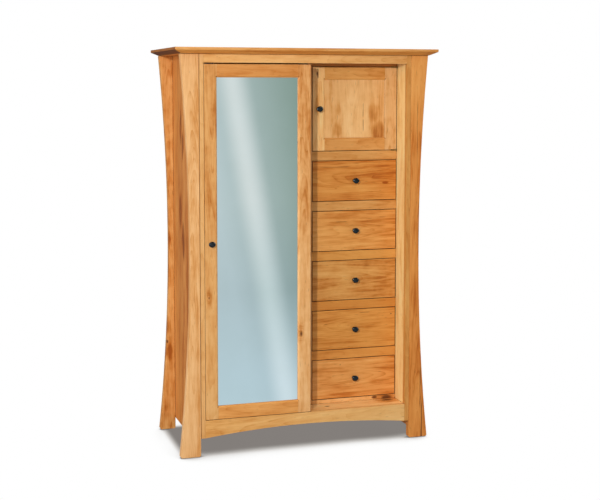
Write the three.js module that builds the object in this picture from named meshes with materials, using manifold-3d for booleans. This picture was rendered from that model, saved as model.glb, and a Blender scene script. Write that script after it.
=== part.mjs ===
// Chifforobe: a wardrobe behind a sliding mirror door, beside a bay with a small cupboard and five drawers.
// Millimetres, X to the right, Y to the back, Z up, origin on the floor under the middle of the top.
import * as THREE from "three";
import { mergeVertices } from "three/addons/utils/BufferGeometryUtils.js";
import Module from "manifold-3d";

const wasm = await Module();
wasm.setup();

// Top: a slab whose under side is bevelled away from a thin vertical edge.
const overallHeight = 1816;
const topLength = 1222;
const topDepth = 572;
const topThickness = 27;
const topEdgeHeight = 12;
const topBevelRun = 32;
const sideOverhang = 31;
const frontOverhang = 48;
const rearOverhang = 16;

// Legs: four full-height slabs, straight inside, hollowed to a waist outside. The front pair
// covers the front ends of the side panels, and the rear pair stands on their outer faces.
const legThickness = 32;
const legTopWidth = 82;
const legWaistWidth = 43;
const legFootWidth = 92;
const legWaistHeight = 925;
const legProud = 2.5;
const legCurveSteps = 14;
const footEase = 5;
const glideDiameter = 22;
const glideHeight = 3;
const glideSides = 16;

// Case panels.
const sideThickness = 18;
const sideFootHeight = 57;
const backThickness = 8;
const deckThickness = 20;
const partitionThickness = 20;

// Face frame.
const frameThickness = 20;
const stileWidth = 21.5;
const stileFootHeight = 84;
const frameArchRise = 28;
const frameArchSteps = 24;
const topRailHeight = 38.5;
const openingFloorHeight = 164.5;

// Right-hand bay, set back far enough for the mirror door to pass in front of its knobs.
const recessDepth = 118;
const bayWidth = 418.5;
const bayTopRailHeight = 50;
const cupboardOpeningHeight = 390;
const bayRailHeight = 42.5;
const bayRailThickness = 20;
const bayFloorRailHeight = 19;
const dustBoardThickness = 12;
const drawerCount = 5;

// Clearances.
const doorGap = 3;
const slideClearance = 0.3;
const jointClearance = 0.3;
const glassClearance = 1;
const cutOverrun = 2;

// Mirror door.
const doorOverlap = 12.5;
const doorSetback = 1;
const mirrorDoorThickness = 22;
const mirrorDoorFloorGap = 2;
const mirrorDoorTopGap = 6;
const mirrorDoorSideGap = 1.5;
const mirrorStileWidth = 58;
const mirrorBevelWidth = 6;
const mirrorBevelDepth = 5;
const mirrorLip = 10;
const rabbetWidth = 8;
const mirrorThickness = 4;
const backingThickness = 5;

// Running gear of the mirror door.
const trackSetback = 6;
const trackWidth = 26;
const trackHeight = 22;
const trackWall = 2;
const trackSlot = 10;
const trackEndGap = 0.5;
const hangerLength = 40;
const hangerPlateThickness = 3;
const hangerPlateDrop = 60;
const hangerLegRise = 6;
const hangerNeckWidth = 7;
const hangerBlockWidth = 19;
const hangerBlockHeight = 13;
const guideWidth = 7;
const guideHeight = 9;
const guideEndMargin = 3;
const guideGrooveClearance = 0.5;
const guideGrooveDepth = 12;

// Cupboard door.
const cupboardDoorThickness = 20;
const cupboardStileWidth = 58;
const cupboardBevelWidth = 6;
const cupboardBevelDepth = 5;
const cupboardLip = 7;
const cupboardPanelThickness = 7;
const cupboardGrooveWidth = 8;

// Pivot hinges of the cupboard door: one plate let into the door, one into the rail.
const hingeInset = 3;
const hingeProud = 2.5;
const hingeEyeRadius = 3.5;
const hingePinRadius = 1.6;
const hingePinClearance = 0.2;
const hingePlateLength = 24;
const hingePlateWidth = 11;
const hingePlateThickness = 2.5;
const hingeShoulderRadius = 2.6;
const hingeSides = 20;

// Drawers.
const drawerFrontThickness = 20;
const drawerFrontGap = 3;
const drawerLength = 365;
const drawerSideThickness = 12;
const drawerHeadroom = 26;
const drawerBottomThickness = 6;
const drawerBottomRise = 10;
const drawerBottomTongue = 5;
const tailCount = 4;
const tailLength = 13;
const tailNeckShare = 0.62;
const tailTipShare = 0.78;

// Wardrobe fittings.
const hatShelfThickness = 18;
const hatShelfDrop = 190;
const hatShelfSetback = 120;
const rodDrop = 70;
const rodRadius = 14;
const rodFlangeRadius = 26;
const rodFlangeThickness = 6;
const rodSides = 24;

// Knobs: a round dished head on a waisted neck.
const knobHeadRadius = 13;
const knobLength = 25;
const knobBaseRadius = 8;
const knobNeckRadius = 5;
const knobSides = 20;
const knobOutlineShares = [
  [0, 0],
  [0.62, 0],
  [0.62, 0.08],
  [0.42, 0.2],
  [0.38, 0.42],
  [0.72, 0.56],
  [0.95, 0.66],
  [1, 0.76],
  [0.94, 0.86],
  [0.74, 0.95],
  [0.4, 0.99],
  [0, 1],
];

// Heights that follow from the sizes above.
const caseTop = overallHeight - topThickness;
const openingTop = caseTop - topRailHeight;
const openingFloor = openingFloorHeight;
const bayCeiling = caseTop - bayTopRailHeight;
const cupboardFloor = bayCeiling - cupboardOpeningHeight;
const bayFloor = openingFloor + bayFloorRailHeight;
const drawerStack = cupboardFloor - bayRailHeight - bayFloor;
const drawerOpening = (drawerStack - (drawerCount - 1) * bayRailHeight) / drawerCount;

// Widths.
const legInner = topLength / 2 - sideOverhang - legTopWidth;
const sideOuter = legInner + sideThickness;
const openingEdge = legInner - stileWidth;
const openingWidth = 2 * openingEdge;
const bayLeft = openingEdge - bayWidth;
const partitionLeft = bayLeft - partitionThickness;
const mirrorDoorWidth = openingWidth / 2 + doorOverlap;
const mirrorDoorLeft = -openingEdge + mirrorDoorSideGap;
const mirrorDoorRight = mirrorDoorLeft + mirrorDoorWidth;

// Depths.
const legFront = -topDepth / 2 + frontOverhang;
const frameFront = legFront + legProud;
const frameBack = frameFront + frameThickness;
const legBack = legFront + legThickness;
const bayFront = frameFront + recessDepth;
const caseBack = topDepth / 2 - rearOverhang;
const caseInnerBack = caseBack - backThickness;
const mirrorDoorFront = frameFront + doorSetback;
const mirrorDoorBack = mirrorDoorFront + mirrorDoorThickness;

const finish = (color, roughness, metalness) =>
  new THREE.MeshStandardMaterial({ color, roughness, metalness });
const cherry = finish(0xdc9c5c, 0.42, 0);
const cherryPanel = finish(0xd7985a, 0.45, 0);
const insideWood = finish(0xd9ae7c, 0.6, 0);
const silvered = finish(0xb9cdd2, 0.05, 0.9);
const bronze = finish(0x3b332c, 0.35, 0.8);
const brass = finish(0xb58d50, 0.35, 0.8);
const aluminium = finish(0xb4b6b8, 0.4, 0.9);
const nylon = finish(0x2c2c2e, 0.6, 0);
const chrome = finish(0xc9cbcd, 0.2, 1);

const chifforobe = new THREE.Group();

function addPiece(name, geometry, material) {
  const mesh = new THREE.Mesh(geometry, material);
  mesh.name = name;
  chifforobe.add(mesh);
  return mesh;
}

// A board between two values on each axis.
function board([left, right], [front, back], [low, high]) {
  const geometry = new THREE.BoxGeometry(right - left, back - front, high - low);
  return geometry.translate((left + right) / 2, (front + back) / 2, (low + high) / 2);
}

// A closed geometry as a solid that can be cut and joined.
function solid(geometry) {
  const bare = geometry.clone();
  bare.deleteAttribute("normal");
  bare.deleteAttribute("uv");
  const merged = mergeVertices(bare);
  return new wasm.Manifold(
    new wasm.Mesh({
      numProp: 3,
      vertProperties: merged.attributes.position.array,
      triVerts: new Uint32Array(merged.index.array),
    }),
  );
}

function geometryOf(manifold) {
  const mesh = manifold.getMesh();
  const geometry = new THREE.BufferGeometry();
  geometry.setAttribute("position", new THREE.BufferAttribute(mesh.vertProperties, mesh.numProp));
  geometry.setIndex(new THREE.BufferAttribute(mesh.triVerts, 1));
  const flat = geometry.toNonIndexed();
  flat.computeVertexNormals();
  return flat;
}

function cut(geometry, cutters) {
  const whole = cutters.reduce((rest, cutter) => rest.subtract(solid(cutter)), solid(geometry));
  return geometryOf(whole);
}

function join(geometries) {
  const [first, ...others] = geometries.map(solid);
  return geometryOf(others.reduce((sum, other) => sum.add(other), first));
}

// An outline drawn in X and Z, as deep as the two Y values apart.
function slab(shape, [front, back], curveSegments) {
  const depth = back - front;
  const geometry = new THREE.ExtrudeGeometry(shape, { depth, curveSegments, bevelEnabled: false });
  return geometry.rotateX(Math.PI / 2).translate(0, back, 0);
}

// An outline drawn in Y and Z, as long as the two X values apart.
function bar(shape, [left, right], curveSegments) {
  const depth = right - left;
  const geometry = new THREE.ExtrudeGeometry(shape, { depth, curveSegments, bevelEnabled: false });
  return geometry.rotateY(Math.PI / 2).rotateX(Math.PI / 2).translate(left, 0, 0);
}

// A round pin, disc or hole standing on Z.
function post(radius, [low, high], x, y, sides) {
  const geometry = new THREE.CylinderGeometry(radius, radius, high - low, sides);
  return geometry.rotateX(Math.PI / 2).translate(x, y, (low + high) / 2);
}

// Rectangles stacked one above the other and skinned, each [half length, half depth, height].
function stackedRectangles(levels) {
  const positions = levels.flatMap(([x, y, z]) => [-x, -y, z, x, -y, z, x, y, z, -x, y, z]);
  const last = (levels.length - 1) * 4;
  const faces = [0, 2, 1, 0, 3, 2, last, last + 1, last + 2, last, last + 2, last + 3];
  for (let level = 0; level < levels.length - 1; level += 1) {
    for (let side = 0; side < 4; side += 1) {
      const a = level * 4 + side;
      const b = level * 4 + ((side + 1) % 4);
      faces.push(a, b, b + 4, a, b + 4, a + 4);
    }
  }
  const geometry = new THREE.BufferGeometry();
  geometry.setAttribute("position", new THREE.Float32BufferAttribute(positions, 3));
  geometry.setIndex(faces);
  const flat = geometry.toNonIndexed();
  flat.computeVertexNormals();
  return flat;
}

function topPanel() {
  const halfLength = topLength / 2;
  const halfDepth = topDepth / 2;
  return stackedRectangles([
    [halfLength - topBevelRun, halfDepth - topBevelRun, caseTop],
    [halfLength, halfDepth, overallHeight - topEdgeHeight],
    [halfLength, halfDepth, overallHeight],
  ]);
}

// One leg, drawn on the right: straight inside, waisted outside, eased at the foot.
function legShape(inner) {
  const waist = legInner + legWaistWidth;
  const top = legInner + legTopWidth;
  const foot = legInner + legFootWidth;
  const shape = new THREE.Shape();
  shape.moveTo(inner + footEase, glideHeight);
  shape.lineTo(foot - footEase, glideHeight);
  shape.lineTo(foot, glideHeight + footEase);
  shape.quadraticCurveTo(waist, legWaistHeight / 2, waist, legWaistHeight);
  shape.quadraticCurveTo(waist, (legWaistHeight + caseTop) / 2, top, caseTop);
  shape.lineTo(inner, caseTop);
  shape.lineTo(inner, glideHeight + footEase);
  return shape;
}

function leg(side, inner, depths) {
  const geometry = slab(legShape(inner), depths, legCurveSteps);
  const glideX = (inner + legInner + legFootWidth) / 2;
  const glideY = (depths[0] + depths[1]) / 2;
  const glide = post(glideDiameter / 2, [0, glideHeight + cutOverrun], glideX, glideY, glideSides);
  const whole = join([geometry, glide]);
  return side > 0 ? whole : mirrored(whole);
}

// The same geometry on the other side of the middle, with its faces turned to point out again.
function mirrored(geometry) {
  const copy = geometry.clone().scale(-1, 1, 1);
  const position = copy.attributes.position;
  for (let corner = 0; corner < position.count; corner += 3) {
    const [a, b] = [corner + 1, corner + 2].map((n) => new THREE.Vector3().fromBufferAttribute(position, n));
    position.setXYZ(corner + 1, b.x, b.y, b.z);
    position.setXYZ(corner + 2, a.x, a.y, a.z);
  }
  copy.computeVertexNormals();
  return copy;
}

// The rail under the opening, with its lower edge arched between the stiles.
function bottomRail() {
  const shape = new THREE.Shape();
  shape.moveTo(-openingEdge, openingFloor);
  shape.lineTo(-openingEdge, stileFootHeight);
  shape.quadraticCurveTo(0, stileFootHeight + 2 * frameArchRise, openingEdge, stileFootHeight);
  shape.lineTo(openingEdge, openingFloor);
  return slab(shape, [frameFront, frameBack], frameArchSteps);
}

// The rail in front of a dust board that carries the drawer or cupboard above it.
function bayRail(top) {
  const rail = board([bayLeft, openingEdge], [bayFront, bayFront + bayRailThickness], [top - bayRailHeight, top]);
  const dustBoard = board(
    [bayLeft, openingEdge],
    [bayFront + bayRailThickness - cutOverrun, caseInnerBack],
    [top - dustBoardThickness, top],
  );
  return join([rail, dustBoard]);
}

// Cutters for the opening of a framed door: the bevel, the opening itself and the groove or rabbet.
function openingCutters(opening, front, thickness, bevel, groove) {
  const [[left, right], [low, high]] = opening;
  const [bevelWidth, bevelDepth] = bevel;
  const [grooveWidth, grooveStart, grooveEnd] = groove;
  const halfLength = (right - left) / 2;
  const halfHeight = (high - low) / 2;
  const overrunWidth = (bevelWidth * cutOverrun) / bevelDepth;
  const bevelCutter = stackedRectangles([
    [halfLength, halfHeight, -bevelDepth],
    [halfLength + bevelWidth + overrunWidth, halfHeight + bevelWidth + overrunWidth, cutOverrun],
  ]);
  bevelCutter.rotateX(Math.PI / 2).translate((left + right) / 2, front, (low + high) / 2);
  const through = board([left, right], [front + bevelDepth - cutOverrun, front + thickness + cutOverrun], [low, high]);
  const grooveCutter = board(
    [left - grooveWidth, right + grooveWidth],
    [front + grooveStart, front + grooveEnd],
    [low - grooveWidth, high + grooveWidth],
  );
  return [bevelCutter, through, grooveCutter];
}

// Two stiles and two rails round an opening, each cut by the same cutters.
function framedDoor(prefix, [left, right], front, thickness, [low, high], stile, cutters, extraCuts) {
  const depths = [front, front + thickness];
  const blanks = {
    left_stile: board([left, left + stile], depths, [low, high]),
    right_stile: board([right - stile, right], depths, [low, high]),
    top_rail: board([left + stile, right - stile], depths, [high - stile, high]),
    bottom_rail: board([left + stile, right - stile], depths, [low, low + stile]),
  };
  for (const [name, blank] of Object.entries(blanks)) {
    const cuts = [...cutters, ...(extraCuts[name] ?? [])];
    addPiece(prefix + name, cut(blank, cuts), cherry);
  }
}

// A knob that stands on a face and points to the front.
function knob(name, x, face, z) {
  const outline = knobOutlineShares.map(
    ([radiusShare, lengthShare]) => new THREE.Vector2(radiusShare * knobHeadRadius, lengthShare * knobLength),
  );
  const geometry = new THREE.LatheGeometry(outline, knobSides);
  const mesh = addPiece(name, geometry, bronze);
  mesh.rotation.x = Math.PI;
  mesh.position.set(x, face, z);
}

addPiece("top_panel", topPanel(), cherry);
const frontLegDepths = [legFront, legBack];
const rearLegDepths = [caseBack - legThickness, caseBack];
addPiece("front_left_leg", leg(-1, legInner, frontLegDepths), cherry);
addPiece("front_right_leg", leg(1, legInner, frontLegDepths), cherry);
addPiece("rear_left_leg", leg(-1, sideOuter, rearLegDepths), cherry);
addPiece("rear_right_leg", leg(1, sideOuter, rearLegDepths), cherry);
const sideDepths = [legBack, caseBack];
const sideLevels = [sideFootHeight, caseTop];
addPiece("left_side_panel", board([-sideOuter, -legInner], sideDepths, sideLevels), cherryPanel);
addPiece("right_side_panel", board([legInner, sideOuter], sideDepths, sideLevels), cherryPanel);

const betweenSides = [-legInner, legInner];
const betweenStiles = [-openingEdge, openingEdge];
const frameDepths = [frameFront, frameBack];
addPiece("left_stile", board([-legInner, -openingEdge], frameDepths, [stileFootHeight, caseTop]), cherry);
addPiece("right_stile", board([openingEdge, legInner], frameDepths, [stileFootHeight, caseTop]), cherry);
addPiece("top_rail", board(betweenStiles, frameDepths, [openingTop, caseTop]), cherry);
addPiece("bottom_rail", bottomRail(), cherry);

const deckLevels = [openingFloor - deckThickness, openingFloor];
const innerDepths = [bayFront, caseInnerBack];
addPiece("case_bottom", board(betweenSides, [frameBack, caseInnerBack], deckLevels), insideWood);
addPiece("back_panel", board(betweenSides, [caseInnerBack, caseBack], [deckLevels[0], caseTop]), insideWood);
const uprightLevels = [openingFloor, caseTop];
addPiece("partition", board([partitionLeft, bayLeft], innerDepths, uprightLevels), cherryPanel);
addPiece("bay_jamb", board([openingEdge, legInner], [frameBack, caseInnerBack], uprightLevels), cherryPanel);

// The bay: a rail under the ceiling, one under the cupboard, one under each drawer but the last.
const railDepths = [bayFront, bayFront + bayRailThickness];
const hingeX = openingEdge - doorGap - hingeInset;
const hingeY = bayFront - hingeProud;

// The plate of a pivot hinge, with its eye in front of the door.
function hingePlate([low, high], growth) {
  const plateFront = bayFront + growth;
  const plate = board(
    [hingeX - hingePlateLength - growth, hingeX + growth],
    [plateFront - growth, bayFront + hingePlateWidth + growth],
    [low, high],
  );
  const eye = post(hingeEyeRadius + growth, [low, high], hingeX, hingeY, hingeSides);
  const neck = board([hingeX - hingeEyeRadius - growth, hingeX + growth], [hingeY, bayFront + hingeEyeRadius], [low, high]);
  return join([plate, eye, neck]);
}

// The rail's plate is let in flush and carries the pin; direction is +1 where the door is above it.
function frameHingeLeaf(name, railFace, direction) {
  const inside = railFace - direction * hingePlateThickness;
  const shoulder = railFace + direction * (doorGap - slideClearance);
  const pinEnd = railFace + direction * (doorGap + hingePlateThickness);
  const ordered = (a, b) => [Math.min(a, b), Math.max(a, b)];
  const leaf = join([
    hingePlate(ordered(inside, railFace), 0),
    post(hingeShoulderRadius, ordered(inside, shoulder), hingeX, hingeY, hingeSides),
    post(hingePinRadius, ordered(inside, pinEnd), hingeX, hingeY, hingeSides),
  ]);
  addPiece(name, leaf, brass);
}

function doorHingeLeaf(name, doorFace, direction) {
  const inside = doorFace + direction * hingePlateThickness;
  const levels = [Math.min(doorFace, inside), Math.max(doorFace, inside)];
  const holeLevels = [levels[0] - cutOverrun, levels[1] + cutOverrun];
  const hole = post(hingePinRadius + hingePinClearance, holeLevels, hingeX, hingeY, hingeSides);
  addPiece(name, cut(hingePlate(levels, 0), [hole]), brass);
}

// The pocket for a plate: a little larger all round and open at the face it is let into.
function hingePocket(face, direction) {
  const bottom = face + direction * (hingePlateThickness + jointClearance);
  const mouth = face - direction * cutOverrun;
  return hingePlate([Math.min(bottom, mouth), Math.max(bottom, mouth)], jointClearance);
}

const cupboardDoorLevels = [cupboardFloor + doorGap, bayCeiling - doorGap];
const bayTopRail = board([bayLeft, openingEdge], railDepths, [bayCeiling, caseTop]);
addPiece("bay_top_rail", cut(bayTopRail, [hingePocket(bayCeiling, 1)]), cherry);
for (let level = 0; level < drawerCount; level += 1) {
  const top = cupboardFloor - level * (drawerOpening + bayRailHeight);
  const rail = bayRail(top);
  const shaped = level === 0 ? cut(rail, [hingePocket(cupboardFloor, -1)]) : rail;
  addPiece("bay_rail_" + (level + 1), shaped, cherry);
}
addPiece("bay_floor_rail", board([bayLeft, openingEdge], [bayFront, caseInnerBack], [openingFloor, bayFloor]), cherry);
frameHingeLeaf("upper_hinge_frame_leaf", bayCeiling, -1);
frameHingeLeaf("lower_hinge_frame_leaf", cupboardFloor, 1);

// Cupboard door.
const cupboardDoorSpan = [bayLeft + doorGap, openingEdge - doorGap];
const cupboardOpening = [
  [cupboardDoorSpan[0] + cupboardStileWidth, cupboardDoorSpan[1] - cupboardStileWidth],
  [cupboardDoorLevels[0] + cupboardStileWidth, cupboardDoorLevels[1] - cupboardStileWidth],
];
const cupboardGroove = [
  cupboardGrooveWidth,
  cupboardLip,
  cupboardLip + cupboardPanelThickness + jointClearance,
];
const cupboardCutters = openingCutters(
  cupboardOpening,
  bayFront,
  cupboardDoorThickness,
  [cupboardBevelWidth, cupboardBevelDepth],
  cupboardGroove,
);
const cupboardPockets = [hingePocket(cupboardDoorLevels[0], 1), hingePocket(cupboardDoorLevels[1], -1)];
framedDoor(
  "cupboard_door_",
  cupboardDoorSpan,
  bayFront,
  cupboardDoorThickness,
  cupboardDoorLevels,
  cupboardStileWidth,
  cupboardCutters,
  { right_stile: cupboardPockets },
);
const panelReach = cupboardGrooveWidth - glassClearance;
addPiece(
  "cupboard_door_panel",
  board(
    [cupboardOpening[0][0] - panelReach, cupboardOpening[0][1] + panelReach],
    [bayFront + cupboardLip, bayFront + cupboardLip + cupboardPanelThickness],
    [cupboardOpening[1][0] - panelReach, cupboardOpening[1][1] + panelReach],
  ),
  cherryPanel,
);
doorHingeLeaf("lower_hinge_door_leaf", cupboardDoorLevels[0], 1);
doorHingeLeaf("upper_hinge_door_leaf", cupboardDoorLevels[1], -1);
const cupboardKnobX = cupboardDoorSpan[0] + cupboardStileWidth / 2;
knob("cupboard_door_knob", cupboardKnobX, bayFront, (cupboardDoorLevels[0] + cupboardDoorLevels[1]) / 2);

// Mirror door, hung from its top and steered by a groove in its bottom edge.
const mirrorDoorLevels = [openingFloor + mirrorDoorFloorGap, openingTop - mirrorDoorTopGap];
const mirrorDoorSpan = [mirrorDoorLeft, mirrorDoorRight];
const mirrorOpening = [
  [mirrorDoorLeft + mirrorStileWidth, mirrorDoorRight - mirrorStileWidth],
  [mirrorDoorLevels[0] + mirrorStileWidth, mirrorDoorLevels[1] - mirrorStileWidth],
];
const mirrorCutters = openingCutters(
  mirrorOpening,
  mirrorDoorFront,
  mirrorDoorThickness,
  [mirrorBevelWidth, mirrorBevelDepth],
  [rabbetWidth, mirrorLip, mirrorDoorThickness + cutOverrun],
);
const guideMiddle = (mirrorDoorFront + mirrorDoorBack) / 2;
const grooveHalf = guideWidth / 2 + guideGrooveClearance;
const guideGroove = board(
  [mirrorDoorLeft - cutOverrun, mirrorDoorRight + cutOverrun],
  [guideMiddle - grooveHalf, guideMiddle + grooveHalf],
  [mirrorDoorLevels[0] - cutOverrun, mirrorDoorLevels[0] + guideGrooveDepth],
);
framedDoor(
  "mirror_door_",
  mirrorDoorSpan,
  mirrorDoorFront,
  mirrorDoorThickness,
  mirrorDoorLevels,
  mirrorStileWidth,
  mirrorCutters,
  { left_stile: [guideGroove], right_stile: [guideGroove], bottom_rail: [guideGroove] },
);
const glassReach = rabbetWidth - glassClearance;
const glassSpan = [mirrorOpening[0][0] - glassReach, mirrorOpening[0][1] + glassReach];
const glassLevels = [mirrorOpening[1][0] - glassReach, mirrorOpening[1][1] + glassReach];
const glassFront = mirrorDoorFront + mirrorLip;
const glassBack = glassFront + mirrorThickness;
addPiece("mirror_glass", board(glassSpan, [glassFront, glassBack], glassLevels), silvered);
addPiece("mirror_backing", board(glassSpan, [glassBack, glassBack + backingThickness], glassLevels), insideWood);
const mirrorKnobX = mirrorDoorLeft + mirrorStileWidth / 2;
knob("mirror_door_knob", mirrorKnobX, mirrorDoorFront, (mirrorDoorLevels[0] + mirrorDoorLevels[1]) / 2);

// The track: a channel under the top, open below between two lips.
const trackFront = frameBack + trackSetback;
const trackBack = trackFront + trackWidth;
const trackBottom = caseTop - trackHeight;
const slotMiddle = (trackFront + trackBack) / 2;
const lipTop = trackBottom + trackWall;
function trackShape() {
  const shape = new THREE.Shape();
  shape.moveTo(trackFront, caseTop);
  shape.lineTo(trackFront, trackBottom);
  shape.lineTo(slotMiddle - trackSlot / 2, trackBottom);
  shape.lineTo(slotMiddle - trackSlot / 2, lipTop);
  shape.lineTo(trackFront + trackWall, lipTop);
  shape.lineTo(trackFront + trackWall, caseTop - trackWall);
  shape.lineTo(trackBack - trackWall, caseTop - trackWall);
  shape.lineTo(trackBack - trackWall, lipTop);
  shape.lineTo(slotMiddle + trackSlot / 2, lipTop);
  shape.lineTo(slotMiddle + trackSlot / 2, trackBottom);
  shape.lineTo(trackBack, trackBottom);
  shape.lineTo(trackBack, caseTop);
  return shape;
}
addPiece("hanger_track", bar(trackShape(), [-legInner + trackEndGap, openingEdge - trackEndGap], 1), aluminium);

// A hanger: a plate on the back of the door, a leg, a neck through the slot and a block on the lips.
const blockBottom = lipTop + slideClearance;
const blockTop = blockBottom + hangerBlockHeight;
const legTop = trackBottom - hangerLegRise;
function hangerShape() {
  const shape = new THREE.Shape();
  shape.moveTo(mirrorDoorBack, legTop);
  shape.lineTo(mirrorDoorBack, mirrorDoorLevels[1] - hangerPlateDrop);
  shape.lineTo(mirrorDoorBack + hangerPlateThickness, mirrorDoorLevels[1] - hangerPlateDrop);
  shape.lineTo(mirrorDoorBack + hangerPlateThickness, legTop - hangerPlateThickness);
  shape.lineTo(slotMiddle + hangerNeckWidth / 2, legTop - hangerPlateThickness);
  shape.lineTo(slotMiddle + hangerNeckWidth / 2, blockBottom);
  shape.lineTo(slotMiddle + hangerBlockWidth / 2, blockBottom);
  shape.lineTo(slotMiddle + hangerBlockWidth / 2, blockTop);
  shape.lineTo(slotMiddle - hangerBlockWidth / 2, blockTop);
  shape.lineTo(slotMiddle - hangerBlockWidth / 2, blockBottom);
  shape.lineTo(slotMiddle - hangerNeckWidth / 2, blockBottom);
  shape.lineTo(slotMiddle - hangerNeckWidth / 2, legTop);
  return shape;
}
const hangerPlaces = {
  left: mirrorDoorLeft + mirrorStileWidth / 2,
  right: mirrorDoorRight - mirrorStileWidth / 2,
};
for (const [side, middle] of Object.entries(hangerPlaces)) {
  const span = [middle - hangerLength / 2, middle + hangerLength / 2];
  addPiece("mirror_door_" + side + "_hanger", bar(hangerShape(), span, 1), nylon);
}

// The guide stands where the closed and the open door both cover it.
const guideHalf = doorOverlap - guideEndMargin;
addPiece(
  "floor_guide",
  board(
    [-guideHalf, guideHalf],
    [guideMiddle - guideWidth / 2, guideMiddle + guideWidth / 2],
    [openingFloor, openingFloor + guideHeight],
  ),
  nylon,
);

// Wardrobe side: a hat shelf with a hanging rod under it.
const hatShelfTop = caseTop - hatShelfDrop;
addPiece(
  "hat_shelf",
  board(
    [-legInner, partitionLeft],
    [frameFront + hatShelfSetback, caseInnerBack],
    [hatShelfTop - hatShelfThickness, hatShelfTop],
  ),
  insideWood,
);
const rodLength = partitionLeft + legInner;
const rodOutline = [
  [0, 0],
  [rodFlangeRadius, 0],
  [rodFlangeRadius, rodFlangeThickness],
  [rodRadius, rodFlangeThickness],
  [rodRadius, rodLength - rodFlangeThickness],
  [rodFlangeRadius, rodLength - rodFlangeThickness],
  [rodFlangeRadius, rodLength],
  [0, rodLength],
].map(([radius, along]) => new THREE.Vector2(radius, along));
const rod = addPiece("hanging_rod", new THREE.LatheGeometry(rodOutline, rodSides), chrome);
rod.rotation.z = -Math.PI / 2;
rod.position.set(-legInner, (mirrorDoorBack + caseInnerBack) / 2, hatShelfTop - hatShelfThickness - rodDrop);

// Drawers: an inset front with half-blind dovetails that hold the ends of the sides.
const drawerSpan = [bayLeft + drawerFrontGap, openingEdge - drawerFrontGap];
const drawerFrontBack = bayFront + drawerFrontThickness;
const drawerBack = bayFront + drawerLength;
const drawerFrontHeight = drawerOpening - 2 * drawerFrontGap;
const drawerSideHeight = drawerOpening - drawerHeadroom;

// The outline of a drawer side, with its tails at the front end.
function drawerSideShape(low) {
  const pitch = drawerSideHeight / tailCount;
  const tip = drawerFrontBack - tailLength;
  const shape = new THREE.Shape();
  shape.moveTo(drawerBack, low);
  shape.lineTo(drawerFrontBack, low);
  for (let tail = 0; tail < tailCount; tail += 1) {
    const middle = low + (tail + 1 / 2) * pitch;
    const neck = (pitch * tailNeckShare) / 2;
    const end = (pitch * tailTipShare) / 2;
    shape.lineTo(drawerFrontBack, middle - neck);
    shape.lineTo(tip, middle - end);
    shape.lineTo(tip, middle + end);
    shape.lineTo(drawerFrontBack, middle + neck);
  }
  shape.lineTo(drawerFrontBack, low + drawerSideHeight);
  shape.lineTo(drawerBack, low + drawerSideHeight);
  return shape;
}

// One socket in the drawer front, a little larger than its tail.
function socketShape(middle) {
  const pitch = drawerSideHeight / tailCount;
  const neck = (pitch * tailNeckShare) / 2 + jointClearance;
  const end = (pitch * tailTipShare) / 2 + jointClearance;
  const tip = drawerFrontBack - tailLength - jointClearance;
  const flare = ((end - neck) * cutOverrun) / tailLength;
  const shape = new THREE.Shape();
  shape.moveTo(drawerFrontBack + cutOverrun, middle - neck + flare);
  shape.lineTo(tip, middle - end);
  shape.lineTo(tip, middle + end);
  shape.lineTo(drawerFrontBack + cutOverrun, middle + neck - flare);
  return shape;
}

function drawerFront(boxLow, frontLow) {
  const blank = board(drawerSpan, [bayFront, drawerFrontBack], [frontLow, frontLow + drawerFrontHeight]);
  const pitch = drawerSideHeight / tailCount;
  const reach = drawerSideThickness + jointClearance;
  const cutters = [];
  for (let tail = 0; tail < tailCount; tail += 1) {
    const shape = socketShape(boxLow + (tail + 1 / 2) * pitch);
    cutters.push(bar(shape, [drawerSpan[0] - cutOverrun, drawerSpan[0] + reach], 1));
    cutters.push(bar(shape, [drawerSpan[1] - reach, drawerSpan[1] + cutOverrun], 1));
  }
  const grooveLow = boxLow + drawerBottomRise - jointClearance;
  const groove = board(
    [drawerSpan[0] + drawerSideThickness - jointClearance, drawerSpan[1] - drawerSideThickness + jointClearance],
    [drawerFrontBack - drawerBottomTongue - jointClearance, drawerFrontBack + cutOverrun],
    [grooveLow, grooveLow + drawerBottomThickness + 2 * jointClearance],
  );
  return cut(blank, [...cutters, groove]);
}

function drawerBox(low) {
  const shape = drawerSideShape(low);
  const inner = [drawerSpan[0] + drawerSideThickness, drawerSpan[1] - drawerSideThickness];
  const left = bar(shape, [drawerSpan[0], inner[0]], 1);
  const right = bar(shape, [inner[1], drawerSpan[1]], 1);
  const back = board(
    [inner[0] - cutOverrun, inner[1] + cutOverrun],
    [drawerBack - drawerSideThickness, drawerBack],
    [low, low + drawerSideHeight],
  );
  const behindFront = board(
    [inner[0] - cutOverrun, inner[1] + cutOverrun],
    [drawerFrontBack + jointClearance, drawerBack],
    [low + drawerBottomRise, low + drawerBottomRise + drawerBottomThickness],
  );
  const tongue = board(
    inner,
    [drawerFrontBack - drawerBottomTongue, drawerFrontBack + cutOverrun],
    [low + drawerBottomRise, low + drawerBottomRise + drawerBottomThickness],
  );
  return join([left, right, back, behindFront, tongue]);
}

for (let level = 0; level < drawerCount; level += 1) {
  const name = "drawer_" + (level + 1);
  const railTop = cupboardFloor - (level + 1) * (drawerOpening + bayRailHeight);
  const boxLow = railTop + slideClearance;
  const frontLow = railTop + drawerFrontGap;
  addPiece(name + "_front", drawerFront(boxLow, frontLow), cherry);
  addPiece(name + "_box", drawerBox(boxLow), insideWood);
  knob(name + "_knob", (drawerSpan[0] + drawerSpan[1]) / 2, bayFront, frontLow + drawerFrontHeight / 2);
}

export default chifforobe;
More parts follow.
